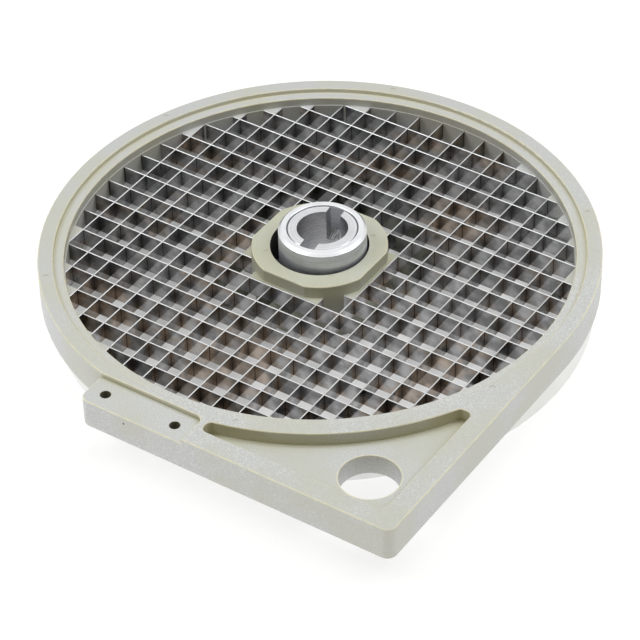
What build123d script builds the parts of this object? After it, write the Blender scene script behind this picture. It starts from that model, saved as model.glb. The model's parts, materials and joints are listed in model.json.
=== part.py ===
"""Dicing disc: a square grid of thin steel blades in a moulded ring with a corner lug.

Millimetres, Z up. The origin is on the drive axis, on the plane that the disc rests on. The collar and
the sleeve that takes the shaft share this axis. The grid with its ring and hub lies a little off it, and
is drawn about its own middle. The blades run along X and Y, and the lug points to +X -Y.
"""
import os
from math import hypot, sqrt

from build123d import *

os.makedirs("parts", exist_ok=True)

# Blade grid
grid_x = -1.0  # grid's middle, from the drive axis
grid_y = -0.6
cells_across = 19.1  # cells across the opening, of which the outermost are cut by its wall
blade_thick = 0.5
blade_high = 7.4
edge_bevel = 0.15  # ground off both sides of the cutting edge
lap_gap = 0.05  # play on each side of a half-lap notch
blade_seat = 3.0  # how far a blade's end runs into the plastic

# Ring, from outside to inside
ring_r = 105.6
rim_wide = 5.8  # flat top of the rim
rim_step = 1.8  # from the rim's top down to the ledge
ledge_wide = 3.9
wall_step = 0.4  # the wall steps in by this at the blades' tops
frame_thick = 13.5
blade_drop = 5.2  # from the rim's top down to the blades' tops
edge_round = 0.5  # moulded edges of the rim and lug

# Lug
lug_reach = 10.4  # front edge, beyond the ring
lug_corner_r = 3.7
lug_wall = 7.9  # round the pocket
pocket_deep = 5.2
pocket_corner_r = 3.5
pocket_left = 22.2  # where the pocket's tail ends, from the grid's middle
pocket_right_end = 50.5  # the same for the tail along the right edge
tail_round = 0.45  # end radius of a tail, as a share of its width
finger_r = 11.0
finger_in = 15.7  # finger hole's middle, from the pocket's front and right walls
recess_deep = 2.0
recess_bite = 3.1  # how far the recess cuts into the ring
recess_right = 19.5
recess_corner_r = 3.0
screw_r = 2.0
screw_gap = 30.2  # between the two screw holes
screw_mid = -3.1  # their middle along X
screw_in = 6.5  # from the front edge

# Round marks of the mould's ejector pins
mark_r = 1.0
mark_deep = 0.15
rim_mark_angles = (43, -20, -73)  # each with one opposite
hub_marks = 4
hub_mark_turn = 45.0
hub_mark_in = 1.6  # middle of a mark, from the edge of the hub's hole

# Collar under the ring
collar_high = 12.6
collar_step = 3.3  # collar's radius is less than the ring's by this
collar_wall = 4.5
collar_bevel = 0.4
tongue_wide = 1.5
tongue_high = 3.0
tongue_gap = 0.05
tongue_in = 0.6  # tongue inside the collar's outer wall

# Hub
hub_cells_across = 5  # between the blade lines that pass beside the hub
hub_set_in = 0.75  # flats, inside the blades beside them
hub_bulge = 1.65  # the round corners stand out from the flats by this
hub_foot = 1.0  # hub's underside above the resting plane
hub_skirt_wall = 2.1
ring_groove_deep = 1.0

# Sleeves that turn in the hub
sleeve_r = 16.6
sleeve_play = 2.0  # round the sleeve in the hub's hole
sleeve_above = 8.0  # above the rim
sleeve_bevel = 1.1
sleeve_foot = 3.0  # sleeve's underside above the resting plane
flange_wide = 4.4  # beyond the sleeve
flange_gap = 1.65  # round the flange in the hub's chamber
flange_thick = 3.4
flange_play = 1.0  # up to the hub's web
key_r = 13.3  # press fit: the sleeve's bore is the key sleeve's outside
key_drop = 0.3  # key sleeve below the top of the sleeve
joint_bevel = 0.4  # on both sides of the joint between the two sleeves
key_long = 25.0
bore_r = 9.65
relief = 0.75  # sleeve's shoulder stands back from the bore
slot_wide = 6.0
slot_deep = 10.0
slot_ramp = 3.0  # slot's floor falls by this towards the bore
slot_turn = 97.3

# Retaining ring
keeper_thick = 1.2
keeper_gap = 0.2  # below the sleeve's flange
keeper_room = 1.65  # round the sleeve
keeper_slack = 0.1  # in its groove
keeper_open = 9.0

# Heights
frame_bottom = collar_high
frame_top = frame_bottom + frame_thick
ledge_top = frame_top - rim_step
blade_top = frame_top - blade_drop
blade_bottom = blade_top - blade_high
recess_floor = frame_top - recess_deep
pocket_floor = frame_top - pocket_deep
sleeve_top = frame_top + sleeve_above
key_top = sleeve_top - key_drop
key_bottom = key_top - key_long
flange_top = frame_bottom - flange_play
flange_bottom = flange_top - flange_thick
keeper_top = flange_bottom - keeper_gap
keeper_bottom = keeper_top - keeper_thick

# Radii and places in plan
rim_in_r = ring_r - rim_wide
ledge_in_r = rim_in_r - ledge_wide
wall_r = ledge_in_r - wall_step
lug_front = ring_r + lug_reach
recess_back = ring_r - recess_bite
lug_left = -sqrt(ring_r**2 - recess_back**2)
pocket_front = lug_front - lug_wall
pocket_right = ring_r - lug_wall
finger_x = pocket_right - finger_in
finger_y = finger_in - pocket_front
screw_y = screw_in - lug_front
collar_r = ring_r - collar_step
collar_in_r = collar_r - collar_wall
tongue_r = collar_r - tongue_in
tongue_in_r = tongue_r - tongue_wide
rim_mark_at = (ring_r + rim_in_r) / 2
grid_at = (grid_x, grid_y)

# Blade lines, from the middle outwards
pitch = 2 * wall_r / cells_across
lines_each_side = int(cells_across / 2)
grid_lines = sorted(((n + 0.5) * pitch for n in range(-lines_each_side, lines_each_side)), key=abs)

# Hub between its blade lines, and what turns in it
hub_half = (hub_cells_across * pitch - blade_thick) / 2
hub_flat = hub_half - hub_set_in
hub_r = hub_flat + hub_bulge
hub_hole_r = sleeve_r + sleeve_play
hub_mark_at = hub_hole_r + hub_mark_in
flange_r = sleeve_r + flange_wide
chamber_r = flange_r + flange_gap
hub_skirt_r = chamber_r + hub_skirt_wall
keeper_r = chamber_r + ring_groove_deep
keeper_in_r = sleeve_r + keeper_room


def save(shape, name, place=(0, 0)):
    """Name a finished piece, set it in its place and write it."""
    shape = Pos(*place) * shape
    shape.label = name
    export_step(shape, f"parts/{name}.step")


def blade_end(line):
    """How far from the middle a blade on this line reaches into the ring."""
    return sqrt(wall_r**2 - line**2) + blade_seat


def spans(line):
    """Start and end of each blade on this line: one blade, or two that stop at the hub."""
    end = blade_end(line)
    if abs(line) > hub_flat:
        return [(-end, end)]
    start = sqrt(hub_r**2 - line**2) - blade_seat
    return [(-end, -start), (start, end)]


def reaches(line, place):
    """Whether a blade on this line covers this place along it."""
    return any(start - blade_thick < place < end + blade_thick for start, end in spans(line))


def blade_blank(direction, line, start, end):
    """A blade with no notches, as its section drawn out along its line."""
    if direction == "x":
        across = Plane(origin=(start, line, blade_bottom), x_dir=(0, 1, 0), z_dir=(1, 0, 0))
    else:
        across = Plane(origin=(line, start, blade_bottom), x_dir=(-1, 0, 0), z_dir=(0, 1, 0))
    half = blade_thick / 2
    with BuildPart() as blank:
        with BuildSketch(across):
            with BuildLine():
                Polyline(
                    (-half, 0),
                    (half, 0),
                    (half, blade_high - edge_bevel),
                    (half - edge_bevel, blade_high),
                    (edge_bevel - half, blade_high),
                    (-half, blade_high - edge_bevel),
                    close=True,
                )
            make_face()
        extrude(amount=end - start)
    return blank.part


def notch_middles(direction, line, start, end):
    """Middles of the half-lap notches: in the lower half of X blades, the upper half of Y blades."""
    quarter = blade_high / 4
    height = blade_bottom + quarter if direction == "x" else blade_top - quarter
    crossing = [
        place
        for place in grid_lines
        if start - blade_thick < place < end + blade_thick and reaches(place, line)
    ]
    if direction == "x":
        return [(place, line, height) for place in crossing]
    return [(line, place, height) for place in crossing]


# Blades: blanks first, because the ring and the hub are moulded round them
blanks = {}
for direction in ("x", "y"):
    number = 0
    for line in grid_lines:
        for start, end in spans(line):
            number += 1
            name = f"blade_{direction}_{number:02d}"
            blanks[name] = (direction, line, start, end, blade_blank(direction, line, start, end))

notch_wide = blade_thick + 2 * lap_gap
notch_high = blade_high / 2 + lap_gap
for name, (direction, line, start, end, blank) in blanks.items():
    with BuildPart() as blade:
        add(blank)
        with Locations(*notch_middles(direction, line, start, end)):
            Box(notch_wide, notch_wide, notch_high, mode=Mode.SUBTRACT)
    save(blade.part, name, grid_at)

moulded_round = [entry[-1] for entry in blanks.values()]

# Cells at the ring whose middle lies outside the wall, and cells whose middle lies inside the hub, are solid
cells = range(-lines_each_side, lines_each_side + 1)
ring_cells = [
    (i * pitch, j * pitch)
    for i in cells
    for j in cells
    if hypot(i, j) * pitch > wall_r and hypot(abs(i) - 0.5, abs(j) - 0.5) * pitch < wall_r
]
hub_cells = [(i * pitch, j * pitch) for i in cells for j in cells if hypot(i, j) * pitch < hub_r]

# Frame: ring and lug in one moulding
with BuildPart() as grid_frame:
    with BuildSketch(Plane.XY.offset(frame_bottom)) as outline:
        with BuildLine():
            Polyline(
                (ring_r, 0),
                (ring_r, -lug_front),
                (lug_left, -lug_front),
                (lug_left, -recess_back),
            )
            ThreePointArc((lug_left, -recess_back), (-ring_r / sqrt(2), ring_r / sqrt(2)), (ring_r, 0))
        make_face()
        fillet(outline.vertices().group_by(Axis.Y)[0], lug_corner_r)
    extrude(amount=frame_thick)

    # Opening above the blades, stepped twice
    with BuildSketch(Plane.XY.offset(ledge_top)):
        Circle(rim_in_r)
    extrude(amount=rim_step, mode=Mode.SUBTRACT)
    with BuildSketch(Plane.XY.offset(blade_top)):
        Circle(ledge_in_r)
    extrude(amount=ledge_top - blade_top, mode=Mode.SUBTRACT)

    # Opening at the blades, less the small cells that are moulded solid
    with BuildSketch(Plane.XY.offset(frame_bottom)):
        Circle(wall_r)
        with Locations(*ring_cells):
            Rectangle(pitch, pitch, mode=Mode.SUBTRACT)
    extrude(amount=blade_top - frame_bottom, mode=Mode.SUBTRACT)

    # Recess at the lug's left end, open to the front and to the left
    recess_wide = recess_right - lug_left + lug_corner_r
    recess_long = lug_front - recess_back + lug_corner_r
    with BuildSketch(Plane.XY.offset(recess_floor)) as recess:
        with Locations((recess_right - recess_wide / 2, -recess_back - recess_long / 2)):
            Rectangle(recess_wide, recess_long)
        inner_corner = recess.vertices().group_by(Axis.Y)[-1].sort_by(Axis.X)[-1]
        fillet(inner_corner, recess_corner_r)
    extrude(amount=recess_deep, mode=Mode.SUBTRACT)

    # Pocket in the lug, between the ring and the lug's edges
    pocket_wide = pocket_right - pocket_left
    pocket_long = pocket_front - pocket_right_end
    left_tail = pocket_front - sqrt(ring_r**2 - pocket_left**2)
    right_tail = pocket_right - sqrt(ring_r**2 - pocket_right_end**2)
    with BuildSketch(Plane.XY.offset(pocket_floor)) as pocket:
        with Locations((pocket_left + pocket_wide / 2, -pocket_right_end - pocket_long / 2)):
            Rectangle(pocket_wide, pocket_long)
        Circle(ring_r, mode=Mode.SUBTRACT)
        fillet(pocket.vertices().group_by(Axis.X)[0], tail_round * left_tail)
        fillet(pocket.vertices().group_by(Axis.Y)[-1], tail_round * right_tail)
        outer_corner = pocket.vertices().sort_by_distance((pocket_right, -pocket_front, pocket_floor))[0]
        fillet(outer_corner, pocket_corner_r)
    extrude(amount=pocket_deep, mode=Mode.SUBTRACT)

    fillet(grid_frame.edges().group_by(Axis.Z)[-1], edge_round)
    recess_edges = grid_frame.edges().filter_by_position(Axis.Z, recess_floor, recess_floor)
    fillet(recess_edges.sort_by(Axis.Y)[0], edge_round)
    ledge_edges = grid_frame.edges().filter_by_position(Axis.Z, ledge_top, ledge_top)
    fillet(ledge_edges.sort_by(SortBy.RADIUS)[0], edge_round)

    with Locations((finger_x, finger_y, pocket_floor)):
        Hole(finger_r)
    with Locations((screw_mid, screw_y, recess_floor)):
        with GridLocations(screw_gap, 0, 2, 1):
            Hole(screw_r)

    # Ejector marks on the rim
    with BuildSketch(Plane.XY.offset(frame_top - mark_deep)):
        for angle in rim_mark_angles:
            with PolarLocations(rim_mark_at, 2, angle):
                Circle(mark_r)
    extrude(amount=mark_deep, mode=Mode.SUBTRACT)

    # Groove for the collar's tongue
    with BuildSketch(Plane.XY.offset(frame_bottom)):
        with Locations((-grid_x, -grid_y)):
            Circle(tongue_r + tongue_gap)
            Circle(tongue_in_r - tongue_gap, mode=Mode.SUBTRACT)
    extrude(amount=tongue_high + tongue_gap, mode=Mode.SUBTRACT)

    add(moulded_round, mode=Mode.SUBTRACT)
save(grid_frame.part, "grid_frame", grid_at)

# Collar that locates the disc in the machine
with BuildPart() as collar:
    with BuildSketch():
        Circle(collar_r)
        Circle(collar_in_r, mode=Mode.SUBTRACT)
    extrude(amount=collar_high)
    chamfer(collar.edges().group_by(Axis.Z)[0], collar_bevel)
    with BuildSketch(Plane.XY.offset(collar_high)):
        Circle(tongue_r)
        Circle(tongue_in_r, mode=Mode.SUBTRACT)
    extrude(amount=tongue_high)
save(collar.part, "locating_collar")

# Hub: base between the blades, boss above them and a skirt below
with BuildPart() as hub:
    with BuildSketch(Plane.XY.offset(frame_bottom)):
        Circle(hub_r)
        with Locations(*hub_cells):
            Rectangle(pitch, pitch)
        Rectangle(2 * hub_half, 2 * hub_half, mode=Mode.INTERSECT)
    extrude(amount=blade_top - frame_bottom)
    with BuildSketch(Plane.XY.offset(blade_top)):
        Circle(hub_r)
        Rectangle(2 * hub_flat, 2 * hub_flat, mode=Mode.INTERSECT)
    extrude(amount=frame_top - blade_top)
    fillet(hub.edges().group_by(Axis.Z)[-1], edge_round)
    with BuildSketch(Plane.XY.offset(hub_foot)):
        Circle(hub_skirt_r)
    extrude(amount=frame_bottom - hub_foot)

    with Locations((0, 0, frame_top)):
        Hole(hub_hole_r)
    with BuildSketch(Plane.XY.offset(hub_foot)):
        Circle(chamber_r)
    extrude(amount=frame_bottom - hub_foot, mode=Mode.SUBTRACT)
    with BuildSketch(Plane.XY.offset(keeper_bottom)):
        Circle(keeper_r)
    extrude(amount=keeper_thick, mode=Mode.SUBTRACT)

    with BuildSketch(Plane.XY.offset(frame_top - mark_deep)):
        with PolarLocations(hub_mark_at, hub_marks, hub_mark_turn):
            Circle(mark_r)
    extrude(amount=mark_deep, mode=Mode.SUBTRACT)

    add(moulded_round, mode=Mode.SUBTRACT)
save(hub.part, "hub", grid_at)

# Drive sleeve with its collar, loose in the hub
with BuildPart() as drive_sleeve:
    with BuildSketch(Plane.XY.offset(sleeve_foot)):
        Circle(sleeve_r)
    extrude(amount=sleeve_top - sleeve_foot)
    chamfer(drive_sleeve.edges().group_by(Axis.Z)[-1], sleeve_bevel)
    with BuildSketch(Plane.XY.offset(flange_bottom)):
        Circle(flange_r)
    extrude(amount=flange_thick)
    with Locations((0, 0, sleeve_top)):
        CounterBoreHole(bore_r + relief, key_r, sleeve_top - key_bottom)
    chamfer(drive_sleeve.edges().group_by(Axis.Z)[-1].sort_by(SortBy.RADIUS)[0], joint_bevel)
save(drive_sleeve.part, "drive_sleeve")

# Key sleeve with two drive slots, pressed into the drive sleeve
with BuildPart() as key_sleeve:
    with BuildSketch(Plane.XY.offset(key_bottom)):
        Circle(key_r)
        Circle(bore_r, mode=Mode.SUBTRACT)
    extrude(amount=key_long)
    chamfer(key_sleeve.edges().group_by(Axis.Z)[-1].sort_by(SortBy.RADIUS)[-1], joint_bevel)
    slot_floor = key_top - slot_deep
    along_slot = Vector(1, 0, 0).rotate(Axis.Z, slot_turn)
    with BuildSketch(Plane((0, 0, 0), x_dir=along_slot, z_dir=along_slot.rotate(Axis.Z, -90))):
        with BuildLine():
            Polyline(
                (-key_r, key_top),
                (-key_r, slot_floor),
                (-bore_r, slot_floor - slot_ramp),
                (bore_r, slot_floor - slot_ramp),
                (key_r, slot_floor),
                (key_r, key_top),
                close=True,
            )
        make_face()
    extrude(amount=slot_wide / 2, both=True, mode=Mode.SUBTRACT)
save(key_sleeve.part, "key_sleeve")

# Spring ring under the sleeve's collar
with BuildPart() as retaining_ring:
    with BuildSketch(Plane.XY.offset(keeper_bottom)):
        Circle(keeper_r - keeper_slack)
        Circle(keeper_in_r, mode=Mode.SUBTRACT)
        with Locations((-keeper_r, 0)):
            Rectangle(2 * keeper_r, keeper_open, mode=Mode.SUBTRACT)
    extrude(amount=keeper_thick)
save(retaining_ring.part, "retaining_ring", grid_at)
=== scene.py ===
"""Dicing disc: finishes, floor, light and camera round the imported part.

Metres, Z up. The origin is on the drive axis, on the plane that the disc rests on.
"""
import json
from math import cos, radians, sin

import bpy
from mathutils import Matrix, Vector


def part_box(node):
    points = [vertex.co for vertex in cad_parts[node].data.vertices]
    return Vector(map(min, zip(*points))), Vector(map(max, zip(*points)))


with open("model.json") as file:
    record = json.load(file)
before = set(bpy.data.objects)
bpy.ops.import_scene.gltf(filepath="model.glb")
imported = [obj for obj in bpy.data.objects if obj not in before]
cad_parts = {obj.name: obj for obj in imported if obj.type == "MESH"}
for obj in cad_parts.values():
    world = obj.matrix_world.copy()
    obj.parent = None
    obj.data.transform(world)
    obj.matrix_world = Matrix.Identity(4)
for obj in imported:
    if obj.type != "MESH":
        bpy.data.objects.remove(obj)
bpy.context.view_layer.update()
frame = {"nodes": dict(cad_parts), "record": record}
mounts = {mount["name"]: mount for mount in frame["record"]["mounts"]}

# Sizes that the finishes need
MM = 0.001
rim_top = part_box("grid_frame")[1][2]
rim_step = 1.8 * MM
ledge_top = rim_top - rim_step
ring_in_r = 99.9 * MM  # inside of the rim
blade_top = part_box("blade_x_01")[1][2]
ground_edge = 0.17 * MM  # height of the bright ground edge of a blade
pitch = 10 * MM
grid_x = -1.0 * MM  # grid's middle, from the drive axis
grid_y = -0.6 * MM
corner_shade_line = (0.3 * MM, 0.5 * MM)  # painted shade: a dark line in a cell's corner, from the crossing blade's middle
corner_shade_from = (0.4 * MM, 4.5 * MM)  # painted shade: darker towards a cell's corners and lighter towards the middle of its wall, from the same place
brown_from = (0.4 * MM, 3.5 * MM)  # painted brown reflection beside the joints, from the same place
brown_front = (-30 * MM, 60 * MM)  # it starts and is full at these distances towards the lug, X less Y
hub_hole_r = 18.6 * MM
gate_at = (95.0 * MM, -60.0 * MM, 0)  # fibres show most near here, where the mould was filled
gate_reach = (100 * MM, 210 * MM)
screws = mounts["lug_screws"]
screws_x, screws_y = screws["pos_m"][:2]
screw_r = screws["dims"]["hole_r_mm"] * MM
screw_gap = screws["dims"]["spacing_x_mm"] * MM
screw_at = [(screws_x + side * screw_gap / 2, screws_y) for side in (1, -1)]
hole_skin = 0.05 * MM  # how far a hole's painted shade reaches into the plastic
finger_x, finger_y = mounts["finger_hole"]["pos_m"][:2]
finger_r = mounts["finger_hole"]["dims"]["r_mm"] * MM
finger_top = blade_top  # floor of the lug's pocket, level with the blades' tops
finger_edge = 0.4 * MM  # pale line round the finger hole: wear and a painted highlight
edge_slope = (0.03, 0.15, 0.95, 0.99)  # upward lean of a rounded edge: starts, full, still full, ends
fleck_at = (-6.7 * MM, -116.6 * MM, 21.2 * MM)  # black fleck moulded into the lug's front wall
fleck_r = 0.4 * MM
joint_r = 13.3 * MM  # where the two sleeves meet
joint_line = 0.22 * MM  # half the width of the dark line there
shade_near = 12 * MM  # a wall with something this near in front of it gets painted olive shade
faced_deep = 5 * MM  # faced ends are within this of the key sleeve's top, and the slots' floors are lower
faced_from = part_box("key_sleeve")[1][2] - faced_deep

# Sizes of the patterns, in noise steps to a metre
plastic_cloud = 35
plastic_grain = 2200
wear_patches = 300
collar_cloud = 60
collar_gloss = 900
collar_ripple = 1200
blade_streaks = (40, 2500)  # along the blade, and up it
blade_film = 130
blade_reflection_patches = (25, 90)  # along the blade, and up it
lathe_rings = 2500
sleeve_cloud = 180
slot_scratches = (2500, 400)  # along X, and along Y
spring_oil = 250

# Colours of the finishes
plastic_warm = (0.555, 0.555, 0.52, 1)
plastic_cool = (0.55, 0.555, 0.57, 1)
plastic_fibre = (0.76, 0.77, 0.77, 1)
# Cream of edge wear, which is also a painted highlight
plastic_wear_and_highlight = (0.77, 0.73, 0.56, 1)
# Colours of painted shade in the plastic's recesses: olive, and cream on the ring's inner walls
plastic_shade_olive = (0.46, 0.44, 0.29, 1)
plastic_shade_cream = (0.66, 0.63, 0.46, 1)
# Painted shade inside the hub's hole and inside the screw holes
hub_hole_shade = (0.025, 0.025, 0.022, 1)
screw_hole_shade = (0.20, 0.19, 0.15, 1)
hub_olive = (0.51, 0.51, 0.41, 1)
hub_grey = (0.52, 0.525, 0.45, 1)
fleck_black = (0.02, 0.02, 0.02, 1)
collar_white = (0.90, 0.905, 0.91, 1)
collar_grey = (0.86, 0.865, 0.87, 1)
blade_grey = (0.37, 0.37, 0.375, 1)
# Painted brown reflection on the blades
blade_brown_reflection = (0.42, 0.355, 0.30, 1)
blade_bright = (0.54, 0.54, 0.535, 1)
# Painted shade in the cells' corners
blade_shade_black = (0.10, 0.095, 0.09, 1)
turned_light = (0.68, 0.69, 0.715, 1)
turned_dark = (0.54, 0.55, 0.57, 1)
bore_light = (0.62, 0.615, 0.62, 1)
bore_dark = (0.47, 0.47, 0.48, 1)
# Painted highlight: lighter copies of the steel for the faced ends
faced_highlight_light = (0.81, 0.82, 0.83, 1)
faced_highlight_dark = (0.71, 0.72, 0.73, 1)
key_end_highlight_light = (0.70, 0.705, 0.715, 1)
key_end_highlight_dark = (0.60, 0.605, 0.615, 1)
# Painted shade on the slots' milled floors
milled_shade_light = (0.30, 0.30, 0.30, 1)
milled_shade_dark = (0.10, 0.10, 0.10, 1)
joint_black = (0.16, 0.16, 0.165, 1)
spring_grey = (0.14, 0.14, 0.15, 1)
spring_blue = (0.09, 0.10, 0.13, 1)

# Roughness of the turned steel
sleeve_satin = 0.5
bore_satin = 0.24
faced_satin = 0.28
milled_rough = 0.25  # added on the slots' floors

# Sockets of a Mix node set to colours
MIX_FACTOR, MIX_A, MIX_B, MIX_RESULT = 0, 6, 7, 2


class Value:
    """A number on a socket. Arithmetic on it adds Math nodes."""

    def __init__(self, nodes, socket):
        self.nodes = nodes
        self.socket = socket

    def math(self, operation, first, second):
        return self.nodes.node("ShaderNodeMath", {"operation": operation}, {0: first, 1: second})

    def __add__(self, other):
        return self.math("ADD", self, other)

    def __radd__(self, other):
        return self.math("ADD", other, self)

    def __sub__(self, other):
        return self.math("SUBTRACT", self, other)

    def __rsub__(self, other):
        return self.math("SUBTRACT", other, self)

    def __mul__(self, other):
        return self.math("MULTIPLY", self, other)

    def __rmul__(self, other):
        return self.math("MULTIPLY", other, self)

    def __gt__(self, other):
        return self.math("GREATER_THAN", self, other)

    def __lt__(self, other):
        return self.math("LESS_THAN", self, other)

    def fraction(self):
        return self.nodes.node("ShaderNodeMath", {"operation": "FRACT"}, {0: self})

    def size(self):
        return self.nodes.node("ShaderNodeMath", {"operation": "ABSOLUTE"}, {0: self})

    def clamped(self):
        return self.nodes.node("ShaderNodeClamp", {}, {"Value": self})


class Nodes:
    """A node tree that is built up node by node."""

    def __init__(self, tree):
        self.tree = tree

    def node(self, kind, settings, sockets, output=0):
        """Add a node of this type with its settings, then the values or links of its sockets."""
        made = self.tree.nodes.new(kind)
        for name, setting in settings.items():
            setattr(made, name, setting)
        for name, value in sockets.items():
            self.feed(made.inputs[name], value)
        return Value(self, made.outputs[output])

    def feed(self, socket, value):
        if isinstance(value, Value):
            self.tree.links.new(value.socket, socket)
        else:
            socket.default_value = value

    def mix(self, factor, start, end):
        """A colour between two others."""
        sockets = {MIX_FACTOR: factor, MIX_A: start, MIX_B: end}
        return self.node("ShaderNodeMix", {"data_type": "RGBA"}, sockets, MIX_RESULT)

    def scaled(self, value, low, high, new_low, new_high):
        """A number taken smoothly from one range to another."""
        sockets = {
            "Value": value,
            "From Min": low,
            "From Max": high,
            "To Min": new_low,
            "To Max": new_high,
        }
        return self.node("ShaderNodeMapRange", {"interpolation_type": "SMOOTHSTEP"}, sockets)

    def noise(self, place, scale, detail=2.0, roughness=0.5):
        sockets = {"Vector": place, "Scale": scale, "Detail": detail, "Roughness": roughness}
        return self.node("ShaderNodeTexNoise", {}, sockets)

    def place(self):
        """Where a point is on the piece, in metres."""
        return self.node("ShaderNodeTexCoord", {}, {}, "Object")

    def parts_of(self, vector):
        """The X, Y and Z of a vector."""
        x = self.node("ShaderNodeSeparateXYZ", {}, {"Vector": vector}, "X")
        split = x.socket.node
        return x, Value(self, split.outputs["Y"]), Value(self, split.outputs["Z"])

    def vector(self, x, y, z):
        return self.node("ShaderNodeCombineXYZ", {}, {"X": x, "Y": y, "Z": z})

    def length(self, vector):
        return self.node("ShaderNodeVectorMath", {"operation": "LENGTH"}, {0: vector}, "Value")

    def distance(self, vector, point):
        settings = {"operation": "DISTANCE"}
        return self.node("ShaderNodeVectorMath", settings, {0: vector, 1: point}, "Value")

    def bump(self, height, strength, depth):
        sockets = {"Height": height, "Strength": strength, "Distance": depth}
        return self.node("ShaderNodeBump", {}, sockets)


class Finish(Nodes):
    """A material on one Principled shader."""

    def __init__(self, name):
        self.material = bpy.data.materials.new(name)
        self.material.use_nodes = True
        super().__init__(self.material.node_tree)
        self.shader = self.tree.nodes["Principled BSDF"]

    def surface(self, sockets):
        for name, value in sockets.items():
            self.feed(self.shader.inputs[name], value)

    def coat(self, names):
        """Put this finish on the named pieces of the part."""
        for name in names:
            for slot in frame["nodes"][name].material_slots:
                slot.material = self.material


def moulded_plastic(name, warm, cool, fibres, edge_wear_and_highlight, film_and_shade):
    """Plastic with short glass fibres, clouded, with cream wear and a painted highlight along its edges
    and painted olive shade in its recesses.
    """
    finish = Finish(name)
    place = finish.place()
    x, y, z = finish.parts_of(place)
    cloud = finish.scaled(finish.noise(place, plastic_cloud, 3), 0.4, 0.6, 0, 1)
    grain = finish.noise(place, plastic_grain, 2, 0.7)
    from_gate = finish.distance(place, gate_at)
    flow = finish.scaled(from_gate, *gate_reach, 1, 0.2)
    fibre = finish.scaled(grain, 0.46, 0.66, 0, fibres) * (0.4 + cloud * 0.6) * flow
    clean = finish.mix(fibre, finish.mix(cloud, warm, cool), plastic_fibre)
    # Painted shade: where ambient occlusion finds something near, the plastic turns olive, and cream
    # instead inside the ring, fading out towards the blades' tops
    open_sky = finish.node("ShaderNodeAmbientOcclusion", {"samples": 8}, {"Distance": shade_near}, "AO")
    from_middle = finish.length(finish.vector(x - grid_x, y - grid_y, 0))
    in_ring = from_middle < ring_in_r
    fading = 1 - in_ring * finish.scaled(z, blade_top, ledge_top, 1, 0)
    painted_shade = finish.scaled(open_sky, 0.45, 0.9, film_and_shade, 0) * fading
    base = finish.mix(painted_shade, clean, finish.mix(in_ring, plastic_shade_olive, plastic_shade_cream))

    # Wear and painted highlight: rounded edges that lean partly up, and the finger hole's rim, turn cream
    # in patches
    normal = finish.node("ShaderNodeNewGeometry", {}, {}, "Normal")
    lean = finish.parts_of(normal)[2]
    starts, full, still_full, ends = edge_slope
    rounded = finish.scaled(lean, starts, full, 0, 1) * finish.scaled(lean, still_full, ends, 1, 0)
    from_finger = finish.length(finish.vector(x - finger_x, y - finger_y, 0))
    finger_rim = ((from_finger - finger_r).size() < finger_edge) * (z > finger_top - finger_edge)
    wear_and_highlight = finish.scaled(finish.noise(place, wear_patches), 0.3, 0.6, 0.5 * edge_wear_and_highlight, edge_wear_and_highlight)
    worn_and_highlit = finish.mix((rounded + finger_rim).clamped() * wear_and_highlight, base, plastic_wear_and_highlight)

    # Painted shade: the hub's hole and the screw holes are dark inside
    with_painted_shade = finish.mix(from_middle < hub_hole_r + hole_skin, worn_and_highlit, hub_hole_shade)
    for screw_x, screw_y in screw_at:
        from_screw = finish.length(finish.vector(x - screw_x, y - screw_y, 0))
        with_painted_shade = finish.mix(from_screw < screw_r + hole_skin, with_painted_shade, screw_hole_shade)
    fleck = finish.distance(place, fleck_at) < fleck_r
    finish.surface(
        {
            "Base Color": finish.mix(fleck, with_painted_shade, fleck_black),
            "Roughness": finish.scaled(grain, 0.3, 0.7, 0.5, 0.62),
            "Specular IOR Level": 0.35,
            "Normal": finish.bump(grain, 0.2, 0.05 * MM),
        }
    )
    return finish


def smooth_plastic():
    """Smooth white plastic of the collar, with faint clouding."""
    finish = Finish("smooth_plastic")
    place = finish.place()
    cloud = finish.scaled(finish.noise(place, collar_cloud, 3), 0.35, 0.7, 0, 1)
    finish.surface(
        {
            "Base Color": finish.mix(cloud, collar_white, collar_grey),
            "Roughness": finish.scaled(finish.noise(place, collar_gloss), 0.3, 0.7, 0.36, 0.44),
            "Normal": finish.bump(finish.noise(place, collar_ripple), 0.1, 0.02 * MM),
        }
    )
    return finish


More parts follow.
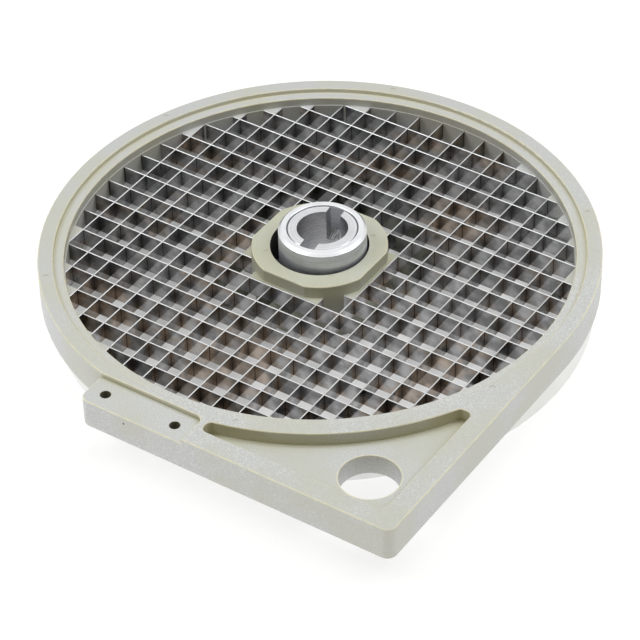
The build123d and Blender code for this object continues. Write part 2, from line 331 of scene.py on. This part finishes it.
def blade_steel(direction):
    """Polished strip with streaks along it, painted brown reflections, painted shade at its joints and a
    bright ground edge.
    """
    finish = Finish("blade_steel_" + direction)
    place = finish.place()
    x, y, z = finish.parts_of(place)
    along = x - grid_x if direction == "x" else y - grid_y
    streak_long, streak_high = blade_streaks
    reflection_long, reflection_high = blade_reflection_patches
    streaks = finish.noise(finish.vector(x * streak_long, y * streak_long, z * streak_high), 1, 3)
    film_and_shade = finish.noise(place, blade_film, 2)
    brown_reflections = finish.noise(finish.vector(x * reflection_long, y * reflection_long, z * reflection_high), 1, 3)
    to_crossing = ((along * (1 / pitch)).fraction() - 0.5).size() * pitch
    # Painted reflection: brown in random patches, and beside the joints towards the lug
    at_joint = finish.scaled(to_crossing, *brown_from, 1, 0) * finish.scaled(x - y, *brown_front, 0, 1)
    patches = finish.scaled(brown_reflections, 0.48, 0.66, 0, 1)
    joints = at_joint * finish.scaled(brown_reflections, 0.3, 0.5, 0, 1)
    brown_reflected = finish.mix((patches + joints).clamped(), blade_grey, blade_brown_reflection)
    # Painted shade: each wall darker towards the cell's corners, lighter in its middle
    corner_shade = finish.scaled(to_crossing, *corner_shade_from, 0.75, 1.1)
    shade = finish.scaled(streaks * 0.15 + film_and_shade * 0.85, 0.35, 0.65, 0.6, 1.35) * corner_shade
    streaked = finish.node(
        "ShaderNodeVectorMath", {"operation": "SCALE"}, {"Vector": brown_reflected, "Scale": shade}
    )
    # Painted shade: a dark line in each cell's corner, where the blades cross
    shade_line = finish.scaled(to_crossing, *corner_shade_line, 1, 0)
    with_painted_shade = finish.mix(shade_line, streaked, blade_shade_black)
    ground = z > blade_top - ground_edge
    finish.surface(
        {
            "Base Color": finish.mix(ground, with_painted_shade, blade_bright),
            "Metallic": 1.0,
            "Roughness": finish.scaled(film_and_shade, 0.3, 0.7, 0.08, 0.22) + ground * 0.25,
        }
    )
    return finish


def turned_steel(name, dark, light, end_highlight_dark, end_highlight_light, satin):
    """Steel with the fine rings of a lathe, a painted highlight on its faced ends, and painted shade and
    scratches on its milled floors.
    """
    finish = Finish(name)
    place = finish.place()
    x, y, z = finish.parts_of(place)
    radius = finish.length(finish.vector(x, y, 0))
    rings = finish.noise(finish.vector(radius * lathe_rings, 0, z * lathe_rings), 1, 2, 0.5)
    cloud = finish.noise(place, sleeve_cloud, 2)
    tone = finish.scaled(rings * 0.6 + cloud * 0.4, 0.35, 0.65, 0, 1)
    normal = finish.node("ShaderNodeNewGeometry", {}, {}, "Normal")
    lean = finish.parts_of(normal)[2]
    upward = finish.scaled(lean, 0.3, 0.6, 0, 1)
    faced = upward * (z > faced_from)
    milled = upward * (z < faced_from)
    sides = finish.mix(tone, dark, light)
    # Painted highlight: faces turned up near the top are a lighter copy of the steel
    ends = finish.mix(tone, end_highlight_dark, end_highlight_light)
    scratch_x, scratch_y = slot_scratches
    scratches = finish.noise(finish.vector(x * scratch_x, y * scratch_y, 0), 1, 2)
    # Painted shade: the slots' milled floors are darkened, with scratches across them
    floors = finish.mix(finish.scaled(scratches, 0.4, 0.55, 0, 1), milled_shade_dark, milled_shade_light)
    metal = finish.mix(milled, finish.mix(faced, sides, ends), floors)
    joint = faced * ((radius - joint_r).size() < joint_line)
    satin_here = satin - faced * (satin - faced_satin) + milled * milled_rough
    finish.surface(
        {
            "Base Color": finish.mix(joint, metal, joint_black),
            "Metallic": 1.0,
            "Roughness": finish.scaled(rings, 0.3, 0.7, 0, 0.1) + satin_here,
            "Normal": finish.bump(rings, 0.08, 0.02 * MM),
        }
    )
    return finish


def spring_steel():
    """Dark, oiled spring steel."""
    finish = Finish("spring_steel")
    place = finish.place()
    oil = finish.scaled(finish.noise(place, spring_oil, 3), 0.35, 0.65, 0, 1)
    finish.surface(
        {
            "Base Color": finish.mix(oil, spring_grey, spring_blue),
            "Metallic": 1.0,
            "Roughness": finish.scaled(oil, 0, 1, 0.3, 0.42),
        }
    )
    return finish


# Finishes on the pieces
frame_plastic = moulded_plastic(
    "frame_plastic", plastic_warm, plastic_cool, fibres=0.8, edge_wear_and_highlight=0.85, film_and_shade=0.8
)
frame_plastic.coat(["grid_frame"])
hub_plastic = moulded_plastic("hub_plastic", hub_olive, hub_grey, fibres=0.2, edge_wear_and_highlight=0.7, film_and_shade=0)
hub_plastic.coat(["hub"])
smooth_plastic().coat(["locating_collar"])
for direction in ("x", "y"):
    blades = [name for name in frame["nodes"] if name.startswith("blade_" + direction)]
    blade_steel(direction).coat(blades)
sleeve_steel = turned_steel(
    "sleeve_steel", turned_dark, turned_light, faced_highlight_dark, faced_highlight_light, sleeve_satin
)
sleeve_steel.coat(["drive_sleeve"])
bore_steel = turned_steel(
    "bore_steel", bore_dark, bore_light, key_end_highlight_dark, key_end_highlight_light, bore_satin
)
bore_steel.coat(["key_sleeve"])
spring_steel().coat(["retaining_ring"])


def seen(nodes):
    """1 for what the eye, reflections and clear things see, and 0 for what lights the part."""
    eye = nodes.node("ShaderNodeLightPath", {}, {}, "Is Camera Ray")
    path = eye.socket.node
    glossy = Value(nodes, path.outputs["Is Glossy Ray"])
    through = Value(nodes, path.outputs["Is Transmission Ray"])
    return (eye + glossy + through).clamped()


# Floor: a pale table that the eye sees as white where no shadow falls on it, and grey below the grid,
# where the disc's shadow and patches of light are painted into its glow
floor_wide = 6.0
floor_pale = (0.35, 0.35, 0.35, 1)
floor_glow = 0.6
floor_lift = 0.14
below_r = 99.0 * MM  # within the collar's wall
below_hub_r = 12.0 * MM  # light comes down the bore
painted_shadow_glow = (0.09, 0.47)
below_patches = 40  # painted patches of light, in noise steps to a metre
below_slope = 2.0  # painted light: brighter by this much for each metre to the front and to the right
bpy.ops.object.select_all(action="DESELECT")
bpy.ops.mesh.primitive_plane_add(size=floor_wide)
floor = bpy.context.object
floor.name = "floor"
table = Finish("table_white")
spot = table.place()
x, y, z = table.parts_of(spot)
eye = seen(table)
# Painted shadow under the disc: below the grid the glow drops to grey, with painted patches of light
# brighter to the front and right
shade = table.scaled(table.noise(spot, below_patches, 2) + (x - y) * below_slope, 0.2, 0.85, *painted_shadow_glow)
from_axis = table.length(spot)
below = (from_axis < below_r) * (from_axis > below_hub_r)
open_lift = floor_glow + eye * floor_lift
lift = open_lift + below * (eye * shade - open_lift)
table.surface(
    {
        "Base Color": floor_pale,
        "Roughness": 0.9,
        "Specular IOR Level": 0.0,
        "Emission Color": table.vector(lift, lift, lift),
        "Emission Strength": 1.0,
    }
)
floor.data.materials.append(table.material)

# World: white to the eye and in reflections, dim as a light
room_light = 0.22
room_warm = (1.0, 0.89, 0.46, 1)
world = bpy.data.worlds.new("studio")
bpy.context.scene.world = world
world.use_nodes = True
studio = Nodes(world.node_tree)
backdrop = world.node_tree.nodes["Background"]
shown = seen(studio)
studio.feed(backdrop.inputs["Color"], studio.mix(shown, room_warm, (1, 1, 1, 1)))
studio.feed(backdrop.inputs["Strength"], room_light + shown * (1 - room_light))

# Lamps: softboxes overhead and at both sides of the view, and a low strip on each side
lamp_cool = (0.925, 0.96, 1.0)
overhead_at = (-0.05, 0.20, 1.5)
overhead_turn = (-7.6, -1.9, 0)
overhead_wide = 0.8
overhead_power = 7.8
side_far = 0.8
side_up = 1.0
side_tilt = 38.7
side_wide = 0.7
strip_far = 0.55
strip_wide = 0.6
strip_high = 0.018  # lower than the rim, so that the strips light only the outer walls


def softbox(name, place, turn, wide, high, power, mirrored=True):
    """A rectangular lamp, which metal mirrors or not. With no turn it shines straight down."""
    data = bpy.data.lights.new(name, "AREA")
    data.shape = "RECTANGLE"
    data.size = wide
    data.size_y = high
    data.energy = power
    data.color = lamp_cool
    lamp = bpy.data.objects.new(name, data)
    lamp.location = place
    lamp.rotation_euler = [radians(angle) for angle in turn]
    lamp.visible_glossy = mirrored
    bpy.context.scene.collection.objects.link(lamp)


def round_part(far, turn, up):
    """A place at this distance and height, turned round the part from its front."""
    return far * sin(radians(turn)), -far * cos(radians(turn)), up


softbox("overhead", overhead_at, overhead_turn, overhead_wide, overhead_wide, overhead_power)
for name, turn, power in (("right", 125, 5.4), ("left", 305, 6.3)):
    place = round_part(side_far, turn, side_up)
    softbox("side_" + name, place, (side_tilt, 0, turn), side_wide, side_wide, power)
for name, turn, power in (("front", 0, 0.5), ("right", 90, 0.4), ("back", 180, 0.5), ("left", 270, 0.7)):
    place = round_part(strip_far, turn, strip_high / 2)
    softbox("strip_" + name, place, (90, 0, turn), strip_wide, strip_high, power, mirrored=False)

# Camera
camera_data = bpy.data.cameras.new("camera")
camera_data.sensor_width = 36.0
camera_data.lens = 163.14
camera_data.clip_end = 10.0
camera = bpy.data.objects.new("camera", camera_data)
camera.location = (0.48088, -0.70016, 0.70268)
camera.rotation_euler = (radians(49.951), radians(1.156), radians(33.631))
bpy.context.scene.collection.objects.link(camera)
bpy.context.scene.camera = camera
bpy.context.scene.view_settings.view_transform = "Standard"
